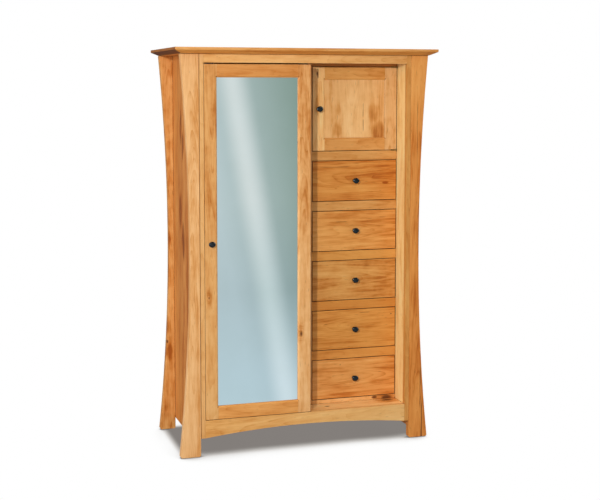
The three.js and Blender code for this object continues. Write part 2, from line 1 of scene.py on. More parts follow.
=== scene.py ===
import bmesh
import bpy
import math
import random
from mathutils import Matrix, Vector


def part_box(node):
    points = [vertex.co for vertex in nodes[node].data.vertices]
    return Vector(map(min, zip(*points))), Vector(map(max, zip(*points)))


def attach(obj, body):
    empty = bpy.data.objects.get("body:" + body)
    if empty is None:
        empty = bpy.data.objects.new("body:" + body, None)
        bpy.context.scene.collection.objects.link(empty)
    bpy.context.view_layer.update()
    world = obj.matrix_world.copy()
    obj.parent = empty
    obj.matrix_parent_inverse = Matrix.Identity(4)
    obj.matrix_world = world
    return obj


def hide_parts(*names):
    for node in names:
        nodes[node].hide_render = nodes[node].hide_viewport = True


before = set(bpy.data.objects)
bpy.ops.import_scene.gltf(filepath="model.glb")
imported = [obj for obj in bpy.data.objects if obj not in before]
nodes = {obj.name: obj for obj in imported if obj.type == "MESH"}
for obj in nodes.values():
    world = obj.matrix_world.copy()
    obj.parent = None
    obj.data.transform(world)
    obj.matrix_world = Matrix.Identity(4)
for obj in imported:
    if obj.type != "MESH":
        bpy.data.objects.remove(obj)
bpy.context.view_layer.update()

# The room: a plain white floor in a white studio, seen from standing height at the front left.
# One small lamp stands to the left of the camera, a wide one further round lights the left faces, and
# even white light fills in from all round.
CAMERA_PLACE = (-1.6517, -5.3627, 1.65)
CAMERA_TURN = (85.118, -0.034, -17.48)
CAMERA_LENS = 72.145
CAMERA_SHIFT = -61.5 / 600
FILM_WIDTH = 36
LAMP_AIM = Vector((0.0, -0.2, 0.95))
LAMPS = (
    dict(name="window_lamp", side=31, rise=17, distance=4.7, width=0.16, power=94),
    dict(name="side_lamp", side=72, rise=8, distance=4.0, width=2.0, power=36),
)

scene = bpy.context.scene
scene.view_settings.view_transform = "Standard"

lens = bpy.data.cameras.new("camera")
lens.sensor_width = FILM_WIDTH
lens.lens = CAMERA_LENS
lens.shift_y = CAMERA_SHIFT
lens.clip_end = 200
camera = bpy.data.objects.new("camera", lens)
camera.location = CAMERA_PLACE
camera.rotation_euler = [math.radians(turn) for turn in CAMERA_TURN]
scene.collection.objects.link(camera)
scene.camera = camera

for setting in LAMPS:
    light = bpy.data.lights.new(setting["name"], "AREA")
    light.size = setting["width"]
    light.energy = setting["power"]
    lamp = bpy.data.objects.new(setting["name"], light)
    side = math.radians(setting["side"])
    rise = math.radians(setting["rise"])
    toward_lamp = Vector((-math.sin(side) * math.cos(rise), -math.cos(side) * math.cos(rise), math.sin(rise)))
    lamp.location = LAMP_AIM + toward_lamp * setting["distance"]
    lamp.rotation_euler = toward_lamp.to_track_quat("Z", "Y").to_euler()
    lamp.visible_camera = False
    scene.collection.objects.link(lamp)

# What the mirror and the metal see: a studio wall, grey-blue at the left of a pale leaning light band
# and greenish at the right of it, a tall light sheet on either side, a dim ceiling and a dim far end.
# The wall changes its colour a little from a high stretch through a middle one to a low one.
ROOM_LIGHT = 0.60
WALL_LIGHT = 1.08
BAND_LEAN = 0.1765
BAND_PLACE = 0.2543
BAND_LEFT_HALF = 0.0177
BAND_RIGHT_HALF = 0.0197
LEFT_TO_RIGHT = (-0.0304, 0.0604)
HIGH_WALL = dict(left=(184, 200, 203), band=(208, 217, 217), right=(130, 152, 143))
MIDDLE_WALL = dict(left=(175, 193, 199), band=(188, 205, 207), right=(113, 137, 132))
LOW_WALL = dict(left=(180, 202, 211), band=(203, 219, 226), right=(160, 180, 186))
HIGH_TO_MIDDLE = (-0.10, -0.18)
MIDDLE_TO_LOW = (-0.18, -0.26)
SHEETS = ((-3.2, -1.2, 5.5), (1.1, 4.0, 6.5))
SHEET_SOFT_SHARE = 0.12
SHEET_FOOT = (0.06, 0.18)
SHEET_HEAD = (0.75, 0.60)
SHEET_FRONT = (-0.15, -0.3)
CEILING_EDGE = (0.55, 0.75)
CEILING_COLOUR = (0.10, 0.10, 0.10, 1)
FAR_END_EDGE = (-0.1, 0.1)
FAR_END_COLOUR = (0.16, 0.15, 0.14, 1)
WHITE = (1, 1, 1, 1)


def paint(red, green, blue):
    """A colour read off a colour card, 0 to 255, as the linear value a shader takes."""
    def linear(value):
        share = value / 255
        return share / 12.92 if share <= 0.04045 else ((share + 0.055) / 1.055) ** 2.4
    return (linear(red), linear(green), linear(blue), 1.0)


def add_node(tree, kind, sockets=None, **settings):
    """One shader node with its settings made and its sockets filled or joined."""
    made = tree.nodes.new("ShaderNode" + kind)
    for setting, value in settings.items():
        setattr(made, setting, value)
    for socket, value in (sockets or {}).items():
        if isinstance(value, bpy.types.NodeSocket):
            tree.links.new(value, made.inputs[socket])
        else:
            made.inputs[socket].default_value = value
    return made


def reckon(tree, operation, first, second=0.0, third=0.0):
    """One step of arithmetic on shader values."""
    return add_node(tree, "Math", {0: first, 1: second, 2: third}, operation=operation).outputs[0]


def blended(tree, share, first, second, blend="MIX"):
    """The first colour with that share of the second laid over it."""
    made = add_node(tree, "Mix", {0: share, 6: first, 7: second}, data_type="RGBA", blend_type=blend)
    return made.outputs[2]


def eased_step(tree, value, start, end, low=0.0, high=1.0):
    """A soft step from low to high while value goes from start to end."""
    made = add_node(tree, "MapRange", {0: value, 1: start, 2: end, 3: low, 4: high})
    made.interpolation_type = "SMOOTHSTEP"
    return made.outputs[0]


room = bpy.data.worlds.new("studio")
scene.world = room
room.use_nodes = True
tree = room.node_tree
tree.nodes.clear()
heading = add_node(tree, "SeparateXYZ", {0: add_node(tree, "TexCoord").outputs["Generated"]})
ahead = reckon(tree, "MAXIMUM", reckon(tree, "ABSOLUTE", heading.outputs["Y"]), 0.02)
sideways = reckon(tree, "DIVIDE", heading.outputs["X"], ahead)
upward = reckon(tree, "DIVIDE", heading.outputs["Z"], ahead)
from_band = reckon(tree, "ADD", sideways, reckon(tree, "MULTIPLY_ADD", upward, BAND_LEAN, -BAND_PLACE))
to_right = add_node(tree, "MapRange", {0: from_band, 1: LEFT_TO_RIGHT[0], 2: LEFT_TO_RIGHT[1]}).outputs[0]
left_of_band = eased_step(tree, from_band, -BAND_LEFT_HALF, 0.0)
right_of_band = eased_step(tree, from_band, BAND_RIGHT_HALF, 0.0)
in_band = reckon(tree, "MULTIPLY", left_of_band, right_of_band)


def stretch_of_wall(left, band, right):
    """One stretch of the wall, from its left to its right, with the pale band over it."""
    plain = blended(tree, to_right, paint(*left), paint(*right))
    return blended(tree, in_band, plain, paint(*band))


to_middle = add_node(tree, "MapRange", {0: upward, 1: HIGH_TO_MIDDLE[0], 2: HIGH_TO_MIDDLE[1]}).outputs[0]
to_low = add_node(tree, "MapRange", {0: upward, 1: MIDDLE_TO_LOW[0], 2: MIDDLE_TO_LOW[1]}).outputs[0]
mirrored_wall = stretch_of_wall(**HIGH_WALL)
mirrored_wall = blended(tree, to_middle, mirrored_wall, stretch_of_wall(**MIDDLE_WALL))
mirrored_wall = blended(tree, to_low, mirrored_wall, stretch_of_wall(**LOW_WALL))
in_front = eased_step(tree, heading.outputs["Y"], *SHEET_FRONT)
off_floor = eased_step(tree, heading.outputs["Z"], *SHEET_FOOT)
level = reckon(tree, "MULTIPLY", off_floor, eased_step(tree, heading.outputs["Z"], *SHEET_HEAD))
for sheet_from, sheet_to, sheet_glow in SHEETS:
    sheet_edge = (sheet_to - sheet_from) * SHEET_SOFT_SHARE
    left_edge = eased_step(tree, sideways, sheet_from, sheet_from + sheet_edge)
    right_edge = eased_step(tree, sideways, sheet_to, sheet_to - sheet_edge)
    share = reckon(tree, "MULTIPLY", left_edge, right_edge)
    share = reckon(tree, "MULTIPLY", reckon(tree, "MULTIPLY", share, level), in_front)
    mirrored_wall = blended(tree, share, mirrored_wall, (sheet_glow, sheet_glow, sheet_glow, 1))
overhead = eased_step(tree, reckon(tree, "ABSOLUTE", heading.outputs["Z"]), *CEILING_EDGE)
mirrored_wall = blended(tree, overhead, mirrored_wall, CEILING_COLOUR)
far_end = eased_step(tree, heading.outputs["Y"], *FAR_END_EDGE)
mirrored_wall = blended(tree, far_end, mirrored_wall, FAR_END_COLOUR)
path = add_node(tree, "LightPath")
plain_light = add_node(tree, "Background", {0: WHITE, 1: ROOM_LIGHT}).outputs[0]
wall_light = add_node(tree, "Background", {0: mirrored_wall, 1: WALL_LIGHT}).outputs[0]
white_wall = add_node(tree, "Background", {0: WHITE, 1: 1.0}).outputs[0]
straight_gloss = reckon(tree, "LESS_THAN", path.outputs["Diffuse Depth"], 0.5)
straight_gloss = reckon(tree, "MULTIPLY", path.outputs["Is Glossy Ray"], straight_gloss)
lit = add_node(tree, "MixShader", {0: straight_gloss, 1: plain_light, 2: wall_light}).outputs[0]
seen = add_node(tree, "MixShader", {0: path.outputs["Is Camera Ray"], 1: lit, 2: white_wall}).outputs[0]
add_node(tree, "OutputWorld", {0: seen})

# The floor is one white sheet that the camera sees glowing, with a painted grey shade under the case,
# soft at its edges, which reaches a little further to the right behind the front leg.
FLOOR_HALF = 30
FLOOR_COLOUR = (0.5, 0.5, 0.5, 1)
SHADOW_REACH = 0.26
SHADOW_LEAN = 0.6
SHADOW_RISE = 0.8
SHADOW_STOPS = (
    (0.0, (128, 123, 119)), (0.31, (132, 127, 123)), (0.36, (146, 142, 138)), (0.44, (179, 175, 171)),
    (0.55, (214, 211, 208)), (0.65, (241, 240, 239)), (0.71, (250, 250, 249)), (0.78, (255, 255, 255)),
)
SHADE_SIDE = (0.54, 0.61)
SHADE_FRONT = (-0.13, -0.30)
SHADE_BACK = (0.24, 0.33)
SPREAD_START = 0.20
SPREAD_SLOPE = 0.34
OPEN_UNDER_CASE = 0.30
OPEN_GAIN = 0.5


def ramp(tree, share, stops):
    """A colour that runs through the listed stops as share goes from 0 to 1."""
    made = add_node(tree, "ValToRGB", {0: share})
    elements = made.color_ramp.elements
    while len(elements) > 1:
        elements.remove(elements[-1])
    elements[0].position, elements[0].color = stops[0]
    for position, colour in stops[1:]:
        elements.new(position).color = colour
    return made.outputs["Color"]


floor_mesh = bpy.data.meshes.new("floor")
corners = [(x * FLOOR_HALF, y * FLOOR_HALF, 0) for x, y in ((-1, -1), (1, -1), (1, 1), (-1, 1))]
floor_mesh.from_pydata(corners, [], [(0, 1, 2, 3)])
floor = bpy.data.objects.new("floor", floor_mesh)
scene.collection.objects.link(floor)
floor.visible_glossy = False
floor_paint = bpy.data.materials.new("white floor")
floor_paint.use_nodes = True
tree = floor_paint.node_tree
tree.nodes.clear()
path = add_node(tree, "LightPath")
floor_plain = add_node(tree, "BsdfDiffuse", {0: FLOOR_COLOUR}).outputs[0]
open_sides = []
for lean in (-SHADOW_LEAN, SHADOW_LEAN):
    sockets = {"Distance": SHADOW_REACH, "Normal": (lean, 0, SHADOW_RISE)}
    open_sides.append(add_node(tree, "AmbientOcclusion", sockets, samples=24).outputs["AO"])
openness = reckon(tree, "MINIMUM", *open_sides)
spot = add_node(tree, "SeparateXYZ", {0: add_node(tree, "TexCoord").outputs["Object"]})
# The painted shade follows the occlusion of the case and a soft outline of its footprint on the floor.
behind_leg = reckon(tree, "MAXIMUM", reckon(tree, "ADD", spot.outputs["Y"], SPREAD_START), 0.0)
right_spread = reckon(tree, "MULTIPLY", behind_leg, SPREAD_SLOPE)
right_side = reckon(tree, "SUBTRACT", spot.outputs["X"], right_spread)
left_side = reckon(tree, "MULTIPLY", spot.outputs["X"], -1.0)
beside_case = eased_step(tree, reckon(tree, "MAXIMUM", right_side, left_side), *SHADE_SIDE)
before_case = eased_step(tree, spot.outputs["Y"], *SHADE_FRONT)
behind_case = eased_step(tree, spot.outputs["Y"], *SHADE_BACK)
clear_of_case = reckon(tree, "MAXIMUM", beside_case, reckon(tree, "MAXIMUM", before_case, behind_case))
case_shade = reckon(tree, "MULTIPLY_ADD", clear_of_case, OPEN_GAIN, OPEN_UNDER_CASE)
openness = reckon(tree, "MINIMUM", openness, case_shade)
shadow = ramp(tree, openness, [(place, paint(*card)) for place, card in SHADOW_STOPS])
floor_seen = add_node(tree, "Emission", {0: shadow, 1: 1.0}).outputs[0]
floor_mix = add_node(tree, "MixShader", {0: path.outputs["Is Camera Ray"], 1: floor_plain, 2: floor_seen})
add_node(tree, "OutputMaterial", {0: floor_mix.outputs[0]})
floor_mesh.materials.append(floor_paint)

# Four full-height legs of solid cherry, straight inside and sawn hollow to a waist outside.
# Their edges are rounded over by hand, and the grain runs up the leg.
MM = 0.001
LEG_EDGE = 2.2 * MM
LEG_LOOKS = {
    "front_left_leg": dict(
        card=(230, 174, 113), heart=0.045, swing=0.05, slant=0.05, figure=0.8, gum=0.3,
        zones=((-560, -500, -0.10),), drifts=((700, 300, 0.06),)),
    "front_right_leg": dict(
        card=(218, 138, 62), heart=0.07, figure=1.0, zones=((505, 575, -0.06),),
        drifts=((1350, 1720, 0.40),),
        streaks=((564, -60, 190, 5.0), (556, 130, 350, 4.4), (540, 850, 1150, 2.0), (530, 1250, 1600, 1.6))),
    "rear_left_leg": dict(
        card=(216, 150, 80), figure=1.2, curl=0.7, heart=0.05, knots=((545, -560, 7), (430, -552, 5)),
        clouds=((520, -552, 75, 30, -0.42), (385, -556, 60, 34, -0.40), (760, -545, 120, 16, -0.30),
                (1000, -545, 150, 14, -0.16))),
    "rear_right_leg": dict(card=(210, 145, 76), figure=0.8),
}
CHERRY_DEEP = (0.55, 0.33, 0.15)
CHERRY_DARK = (0.82, 0.66, 0.44)
CHERRY_EVEN = (1, 1, 1)
CHERRY_PALE = (1.10, 1.22, 1.40)
CHERRY_SAP = (1.18, 1.45, 1.95)
CHERRY_STOPS = (
    (0.0, CHERRY_DEEP), (0.28, CHERRY_DARK), (0.5, CHERRY_EVEN), (0.74, CHERRY_PALE), (1.0, CHERRY_SAP),
)
BRIGHTEST = 0.97
END_GRAIN = (0.50, 0.38, 0.28, 1)
JOINT_FINISH_AND_SHADE_COLOUR = (0.30, 0.18, 0.10, 1)
PAINTED_NOOK_SHADE_COLOUR = (0.16, 0.075, 0.035, 1)
GUM_COLOUR = (0.085, 0.026, 0.008, 1)
STREAK_COLOUR = (0.20, 0.062, 0.013, 1)
KNOT_COLOUR = (0.13, 0.042, 0.012, 1)
MARK_STRENGTH = 0.9
RING_WIDTH = 4.4 * MM
HEART_ASIDE = 18 * MM
FIGURE_BANDS = 95.0
WANDER = (1.5, 8.0, 2.5)
RIBBONS = (9.0, 75.0)
BROAD = (4.0, 22.0)
CURLY = (26.0, 34.0, 1.5)
LINES = (15.0, 280.0, 1.0)
FIBRES = (70.0, 1500.0)
SPECKS = (26.0, 300.0, 1.0)
SPECK_EDGE = (0.70, 0.77)
KNOT_REACH = 3.4
KNOT_PUSH = 2.2
KNOT_CORE = 0.35
CLOUD_RAGGED = 1.6
CLOUD_EDGE = (1.0, 0.35)
STREAK_WANDER = 0.35
STREAK_RAGGED = 2.4
STREAK_CORE = 0.3
STREAK_FADE = 0.2
PAINTED_NOOK_SHADE_REACH = 7 * MM
PAINTED_NOOK_SHADE_EDGE = (0.72, 0.25)
END_GRAIN_EDGE = (0.28, 0.42)


def distance(tree, first, second):
    """How far a place lies from a mark or a line, from its two offsets."""
    offset = add_node(tree, "CombineXYZ", {0: first, 1: second})
    return add_node(tree, "VectorMath", {0: offset.outputs[0]}, operation="LENGTH").outputs["Value"]


def timber(material, along, across, through, end_face, tone, draw, board=None, figure=1.0, curl=0.16,
           heart=0.06, swing=0.045, slant=0.035, gum=0.45, knots=(), streaks=(), zones=(), drifts=(),
           clouds=()):
    """Sawn timber as rings round a heart line behind the board, with its knots and gum lines. A zone is
    paler or darker from one place across the board to another, a drift from one place along it, a cloud
    round a place. The marks keep their places on the board, also where its staves shift the rings."""
    tree = material.node_tree
    shader = tree.nodes["Principled BSDF"]
    board_along, board_across = board or (along, across)

    def in_the_wood(along_scale, across_scale):
        """The place in the wood, drawn out along the grain, and shifted so that no two boards match."""
        shift = [draw.uniform(0, 50) for _ in range(3)]
        parts = [
            reckon(tree, "MULTIPLY_ADD", along, along_scale, shift[0]),
            reckon(tree, "MULTIPLY_ADD", across, across_scale, shift[1]),
            reckon(tree, "MULTIPLY_ADD", through, across_scale, shift[2]),
        ]
        return add_node(tree, "CombineXYZ", dict(enumerate(parts))).outputs[0]

    def cloudy(along_scale, across_scale, detail=2.0, output="Fac"):
        place = in_the_wood(along_scale, across_scale)
        sockets = {"Vector": place, "Scale": 1.0, "Detail": detail, "Roughness": 0.55}
        return add_node(tree, "TexNoise", sockets).outputs[output]

    wander = add_node(tree, "SeparateXYZ", {0: cloudy(*WANDER, "Color")})
    wander_across = reckon(tree, "MULTIPLY_ADD", wander.outputs["X"], swing, -swing / 2)
    wander_through = reckon(tree, "MULTIPLY_ADD", wander.outputs["Y"], swing, -swing / 2)
    slope = draw.choice((-1, 1)) * slant
    heart_across = reckon(tree, "ADD", across, draw.uniform(-HEART_ASIDE, HEART_ASIDE))
    heart_through = reckon(tree, "MULTIPLY_ADD", along, slope, heart)
    growth = distance(
        tree,
        reckon(tree, "ADD", heart_across, wander_across),
        reckon(tree, "ADD", reckon(tree, "ADD", through, wander_through), heart_through),
    )
    dark_knot = None
    for knot_along, knot_across, size in knots:
        reach = distance(
            tree,
            reckon(tree, "MULTIPLY", reckon(tree, "SUBTRACT", board_along, knot_along), 0.5),
            reckon(tree, "SUBTRACT", board_across, knot_across),
        )
        pushed = eased_step(tree, reach, size * KNOT_REACH, 0.0, 0.0, size * KNOT_PUSH)
        growth = reckon(tree, "ADD", growth, pushed)
        ragged = reckon(tree, "MULTIPLY_ADD", wander.outputs["Z"], size, -size / 2)
        core = eased_step(tree, reckon(tree, "ADD", reach, ragged), size, size * KNOT_CORE)
        dark_knot = core if dark_knot is None else reckon(tree, "MAXIMUM", dark_knot, core)
    rings = reckon(tree, "DIVIDE", growth, RING_WIDTH)
    late_wood = reckon(tree, "POWER", reckon(tree, "FRACT", rings), 4.0)
    ring_number = reckon(tree, "FLOOR", rings)
    year = add_node(tree, "TexWhiteNoise", {"W": ring_number}, noise_dimensions="1D").outputs["Value"]
    band_place = reckon(tree, "MULTIPLY_ADD", growth, FIGURE_BANDS, draw.uniform(0, 90))
    band_sockets = {"W": band_place, "Scale": 1.0, "Detail": 2.5}
    bands = add_node(tree, "TexNoise", band_sockets, noise_dimensions="1D").outputs["Fac"]
    ribbons = cloudy(*RIBBONS)
    broad = cloudy(*BROAD)
    curly = cloudy(*CURLY)
    lines = cloudy(*LINES)
    fibres = cloudy(*FIBRES)
    parts_and_weights = (
        (bands, 0.40 * figure), (year, 0.09 * figure), (ribbons, 0.55 * figure), (broad, 0.85 * figure),
        (curly, curl), (lines, 0.34 * figure), (fibres, 0.20),
    )
    value = 0.5
    for part, weight in parts_and_weights:
        value = reckon(tree, "MULTIPLY_ADD", part, weight, reckon(tree, "SUBTRACT", value, weight / 2))
    value = reckon(tree, "ADD", value, 0.034 * figure)
    value = reckon(tree, "MULTIPLY_ADD", late_wood, -0.17 * figure, value)
    for zone_from, zone_to, change in zones:
        placed = reckon(tree, "ADD", board_across, reckon(tree, "MULTIPLY", wander_across, 0.5))
        value = reckon(tree, "MULTIPLY_ADD", eased_step(tree, placed, zone_from, zone_to), change, value)
    for drift_from, drift_to, change in drifts:
        drifted = eased_step(tree, board_along, drift_from, drift_to)
        value = reckon(tree, "MULTIPLY_ADD", drifted, change, value)
    for cloud_along, cloud_across, reach_along, reach_across, change in clouds:
        away = distance(
            tree,
            reckon(tree, "DIVIDE", reckon(tree, "SUBTRACT", board_along, cloud_along), reach_along),
            reckon(tree, "DIVIDE", reckon(tree, "SUBTRACT", board_across, cloud_across), reach_across),
        )
        away = reckon(tree, "SUBTRACT", away, CLOUD_RAGGED / 2)
        away = reckon(tree, "MULTIPLY_ADD", broad, CLOUD_RAGGED, away)
        value = reckon(tree, "MULTIPLY_ADD", eased_step(tree, away, *CLOUD_EDGE), change, value)
    stops = []
    for place, shade in CHERRY_STOPS:
        toned = [min(BRIGHTEST, share * part) for share, part in zip(shade, tone)]
        stops.append((place, (*toned, 1.0)))
    colour = ramp(tree, value, stops)
    specks = eased_step(tree, cloudy(*SPECKS), *SPECK_EDGE, 0.0, gum)
    colour = blended(tree, specks, colour, GUM_COLOUR)
    for streak_across, streak_from, streak_to, half_width in streaks:
        off_line = reckon(tree, "SUBTRACT", board_across, streak_across)
        off_line = reckon(tree, "ADD", off_line, reckon(tree, "MULTIPLY", wander_across, STREAK_WANDER))
        ragged = half_width * STREAK_RAGGED
        off_line = reckon(tree, "SUBTRACT", reckon(tree, "ABSOLUTE", off_line), ragged / 2)
        off_line = reckon(tree, "MULTIPLY_ADD", ribbons, ragged, off_line)
        mask = eased_step(tree, off_line, half_width, half_width * STREAK_CORE)
        fade = (streak_to - streak_from) * STREAK_FADE
        fade_in = eased_step(tree, board_along, streak_from, streak_from + fade)
        fade_out = eased_step(tree, board_along, streak_to, streak_to - fade)
        mask = reckon(tree, "MULTIPLY", mask, reckon(tree, "MULTIPLY", fade_in, fade_out))
        colour = blended(tree, reckon(tree, "MULTIPLY", mask, MARK_STRENGTH), colour, STREAK_COLOUR)
    if dark_knot is not None:
        colour = blended(tree, reckon(tree, "MULTIPLY", dark_knot, MARK_STRENGTH), colour, KNOT_COLOUR)
    # Painted shade: the colour is darkened in gaps and inside corners, as far as the occlusion reaches.
    nook_openness = add_node(tree, "AmbientOcclusion", {"Distance": PAINTED_NOOK_SHADE_REACH}, samples=6).outputs["AO"]
    colour = blended(tree, eased_step(tree, nook_openness, *PAINTED_NOOK_SHADE_EDGE), colour, PAINTED_NOOK_SHADE_COLOUR, "MULTIPLY")
    end_grain = eased_step(tree, end_face, *END_GRAIN_EDGE)
    colour = blended(tree, end_grain, colour, END_GRAIN, "MULTIPLY")
    tree.links.new(colour, shader.inputs["Base Color"])
    tree.links.new(reckon(tree, "MULTIPLY_ADD", ribbons, 0.16, 0.40), shader.inputs["Roughness"])
    relief = reckon(tree, "MULTIPLY_ADD", late_wood, -0.35, fibres)
    bump = add_node(tree, "Bump", {"Strength": 0.22, "Distance": 0.25 * MM, "Height": relief})
    tree.links.new(bump.outputs[0], shader.inputs["Normal"])
    shader.inputs["Specular IOR Level"].default_value = 0.2
    shader.inputs["Coat Weight"].default_value = 0.04
    shader.inputs["Coat Roughness"].default_value = 0.3


def finish_with(piece, material):
    """Takes off what the piece has on it and puts this finish on."""
    piece.data.materials.clear()
    piece.data.materials.append(material)


STAVE_ALONG = 9.0
STAVE_ACROSS = 0.11
STAVE_GREEN = 1.4
STAVE_BLUE = 1.9
GLUE_LINE_HALF = 0.45
GLUE_LINE_STRENGTH = 0.3
JOINT_EDGE = (4.0 * MM, 1.4 * MM)


def wood(piece, grain, card, staves=None, joints=(), **look):
    """Gives a board its own timber; grain names the axes along, across and through it, card is its colour.
    Staves are the width of the boards it is glued up from and how much they differ. Joints are the places
    across it, in millimetres, with a dark line against the next board: painted shade where that board
    stands proud, and finish gathered in the joint. A knot is given by its place along and across the
    board and its size, a cloud by its place, its reach along and across and its change of tone, a streak
    by its place across, its two ends and half its width, and a zone or a drift by where it starts, where it
    ends and its change of tone."""
    board = nodes.get(piece) or bpy.data.objects[piece]
    low, high = Vector(board.bound_box[0]), Vector(board.bound_box[6])
    middle = {"X": (low.x + high.x) / 2, "Y": (low.y + high.y) / 2, "Z": (low.z + high.z) / 2}
    material = bpy.data.materials.new("timber " + piece)
    material.use_nodes = True
    tree = material.node_tree
    draw = random.Random(piece)
    place = add_node(tree, "TexCoord")
    here = add_node(tree, "SeparateXYZ", {0: place.outputs["Object"]})
    facing = add_node(tree, "SeparateXYZ", {0: place.outputs["Normal"]})
    along, across, through = (reckon(tree, "SUBTRACT", here.outputs[axis], middle[axis]) for axis in grain)
    end_face = reckon(tree, "ABSOLUTE", facing.outputs[grain[0]])

    def up(at):
        """A place along the board, from the part's frame in millimetres to the middle of the board."""
        return at * MM - middle[grain[0]]

    def over(at):
        """A place across the board, reckoned the same way."""
        return at * MM - middle[grain[1]]

    marks = {
        "board": (along, across),
        "knots": [(up(at), over(aside), size * MM) for at, aside, size in look.pop("knots", ())],
        "clouds": [
            (up(at), over(aside), reach * MM, side_reach * MM, change)
            for at, aside, reach, side_reach, change in look.pop("clouds", ())],
        "streaks": [
            (over(aside), up(start), up(end), half * MM)
            for aside, start, end, half in look.pop("streaks", ())],
        "zones": [(over(start), over(end), change) for start, end, change in look.pop("zones", ())],
        "drifts": [(up(start), up(end), change) for start, end, change in look.pop("drifts", ())],
    }
    if staves:
        width, contrast = staves
        in_staves = reckon(tree, "DIVIDE", across, width * MM)
        stave = reckon(tree, "ADD", reckon(tree, "FLOOR", in_staves), draw.uniform(0, 99))
        chance = add_node(tree, "TexWhiteNoise", {"W": stave}, noise_dimensions="1D").outputs["Color"]
        chance = add_node(tree, "SeparateXYZ", {0: chance})
        off_middle = reckon(tree, "SUBTRACT", reckon(tree, "FRACT", in_staves), 0.5)
        off_middle = reckon(tree, "ABSOLUTE", off_middle)
        along = reckon(tree, "MULTIPLY_ADD", chance.outputs["X"], STAVE_ALONG, along)
        across = reckon(tree, "MULTIPLY_ADD", chance.outputs["Y"], STAVE_ACROSS, across)
    timber(material, along, across, through, end_face, paint(*card)[:3], draw, **look, **marks)
    shader = tree.nodes["Principled BSDF"]
    colour = shader.inputs["Base Color"].links[0].from_socket
    # A dark line along each joint: painted shade of the proud board next to it, and gathered finish.
    for joint_at in joints:
        off_joint = reckon(tree, "SUBTRACT", here.outputs[grain[1]], joint_at * MM)
        finish_and_shade = eased_step(tree, reckon(tree, "ABSOLUTE", off_joint), *JOINT_EDGE)
        colour = blended(tree, finish_and_shade, colour, JOINT_FINISH_AND_SHADE_COLOUR, "MULTIPLY")
    if staves:
        shade = reckon(tree, "MULTIPLY_ADD", chance.outputs["Z"], contrast, 1 - contrast / 2)
        green = reckon(tree, "POWER", shade, STAVE_GREEN)
        blue = reckon(tree, "POWER", shade, STAVE_BLUE)
        tint = add_node(tree, "CombineXYZ", {0: shade, 1: green, 2: blue})
        colour = blended(tree, 1.0, colour, tint.outputs[0], "MULTIPLY")
        glued_from = 0.5 - GLUE_LINE_HALF / width
        glue_line = eased_step(tree, off_middle, glued_from, 0.5, 0.0, GLUE_LINE_STRENGTH)
        colour = blended(tree, glue_line, colour, GUM_COLOUR)
    tree.links.new(colour, shader.inputs["Base Color"])
    finish_with(board, material)
    return material


smoothing = bpy.data.node_groups.new("closed up", "GeometryNodeTree")
smoothing.is_modifier = True
for way in ("INPUT", "OUTPUT"):
    smoothing.interface.new_socket(name="Geometry", in_out=way, socket_type="NodeSocketGeometry")
group_in = smoothing.nodes.new("NodeGroupInput")
group_out = smoothing.nodes.new("NodeGroupOutput")
close_up = smoothing.nodes.new("GeometryNodeMergeByDistance")
close_up.inputs["Distance"].default_value = 0.02 * MM
shade_soft = smoothing.nodes.new("GeometryNodeSetShadeSmooth")
smoothing.links.new(group_in.outputs[0], close_up.inputs[0])
smoothing.links.new(close_up.outputs[0], shade_soft.inputs[0])
smoothing.links.new(shade_soft.outputs[0], group_out.inputs[0])
FLAT_WITHIN = 0.0006
SHARP_FROM = math.radians(25)


def ease_edges(piece, width, steps=2):
    """Sands the sharp edges round; the flat faces stay flat."""
    node = nodes.get(piece) or bpy.data.objects[piece]
    closed = node.modifiers.new("closed up", "NODES")
    closed.node_group = smoothing
    planed = node.modifiers.new("planed", "DECIMATE")
    planed.decimate_type = "DISSOLVE"
    planed.angle_limit = FLAT_WITHIN
    sanded = node.modifiers.new("sanded", "BEVEL")
    sanded.width = width
    sanded.segments = steps
    sanded.limit_method = "ANGLE"
    sanded.angle_limit = SHARP_FROM
    smooth = node.modifiers.new("smooth", "WEIGHTED_NORMAL")
    smooth.keep_sharp = False
    smooth.weight = 50


for piece, look in LEG_LOOKS.items():
    wood(piece, "ZXY", **look)
    ease_edges(piece, LEG_EDGE, 3)

# A turned nylon glide under each foot, a dark disc with a rolled rim that keeps the end grain off the
# floor. It sits round the short peg that stands out of the foot.
GLIDE_OUTLINE = (
    (11.05, 0.15), (12.2, 0.2), (12.9, 0.7), (13.0, 1.6), (12.6, 2.5), (11.9, 2.9), (11.05, 2.95),
)
GLIDE_PLACES = ((-544, -222), (544, -222), (-553, 254), (553, 254))
LATHE_SHARP_FROM = math.radians(38)


def turned(name, outline, centre, pointing, turns=48, closed=False):
    """A piece turned on a lathe: outline gives radius and height in millimetres from centre, along
    pointing. Where a punched form isn't round, its radius is given for each step round the turn."""
    mesh = bmesh.new()
    rows = []
    for radius, height in outline:
        if radius == 0:
            rows.append([mesh.verts.new((0, 0, height * MM))])
            continue
        around = radius if isinstance(radius, list) else [radius] * turns
        row = []
        for turn, reach in enumerate(around):
            angle = 2 * math.pi * turn / turns
            x = reach * MM * math.cos(angle)
            y = reach * MM * math.sin(angle)
            row.append(mesh.verts.new((x, y, height * MM)))
        rows.append(row)
    pairs = list(zip(rows, rows[1:]))
    if closed:
        pairs.append((rows[-1], rows[0]))
    for lower, upper in pairs:
        for turn in range(turns):
            after = (turn + 1) % turns
            face = [
                lower[turn % len(lower)], lower[after % len(lower)],
                upper[after % len(upper)], upper[turn % len(upper)],
            ]
            face = list(dict.fromkeys(face))
            if len(face) > 2:
                mesh.faces.new(face)
    bmesh.ops.recalc_face_normals(mesh, faces=mesh.faces)
    for face in mesh.faces:
        face.smooth = True
    data = bpy.data.meshes.new(name)
    mesh.transform(Vector(pointing).to_track_quat("Z", "Y").to_matrix().to_4x4())
    bmesh.ops.translate(mesh, verts=mesh.verts, vec=Vector(centre) * MM)
    mesh.to_mesh(data)
    mesh.free()
    data.set_sharp_from_angle(angle=LATHE_SHARP_FROM)
    piece = bpy.data.objects.new(name, data)
    scene.collection.objects.link(piece)
    return piece


